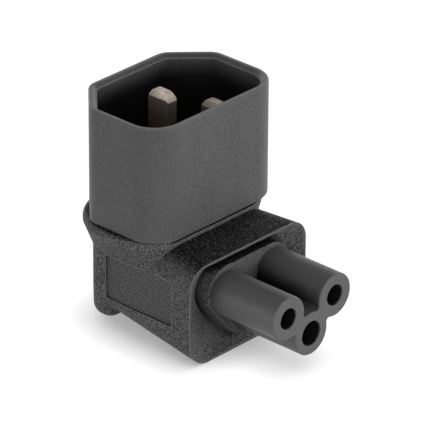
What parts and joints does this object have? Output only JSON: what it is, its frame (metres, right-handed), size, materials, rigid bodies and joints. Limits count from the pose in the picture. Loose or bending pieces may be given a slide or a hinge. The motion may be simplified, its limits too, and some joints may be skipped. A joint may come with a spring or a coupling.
{
  "type": "right-angle mains power adapter",
  "caption": "Right-angle mains adapter: a recessed blade-pin inlet opening upwards, joined to a forward-pointing cloverleaf outlet by a moulded block.",
  "frame": {"origin": "under the middle of the adapter, level with its lowest edge", "axes": "+Z is the way the inlet opens, +X is the way the outlet points, +Y completes the right hand"},
  "size_m": [0.0378, 0.029, 0.0363],
  "materials": {
    "outer_plastic": "fine spark-eroded texture, dark grey-black",
    "inlet_plastic": "smooth satin, dark grey",
    "outlet_plastic": "smooth satin, dark grey",
    "inner_plastic": "plain moulded, pale grey",
    "retainer_plastic": "plain moulded, grey",
    "pin_metal": "nickel-plated brass, lightly brushed",
    "contact_metal": "tin-plated spring bronze",
    "core_metal": "bare copper strand",
    "jacket_line": "brown wire insulation",
    "jacket_neutral": "blue wire insulation",
    "jacket_earth": "green and yellow wire insulation"
  },
  "bodies": {
    "root": {"outer_moulding": "outer_plastic", "inner_moulding": "inner_plastic", "inlet_shroud": "inlet_plastic", "pin_retainer": "retainer_plastic", "outlet_insulator": "outlet_plastic", "outlet_cap": "retainer_plastic", "inlet_pin_line": "pin_metal", "outlet_contact_line": "contact_metal", "wire_core_line": "core_metal", "wire_jacket_line": "jacket_line", "inlet_pin_neutral": "pin_metal", "outlet_contact_neutral": "contact_metal", "wire_core_neutral": "core_metal", "wire_jacket_neutral": "jacket_neutral", "inlet_pin_earth": "pin_metal", "outlet_contact_earth": "contact_metal", "wire_core_earth": "core_metal", "wire_jacket_earth": "jacket_earth"}
  },
  "joints": []
}
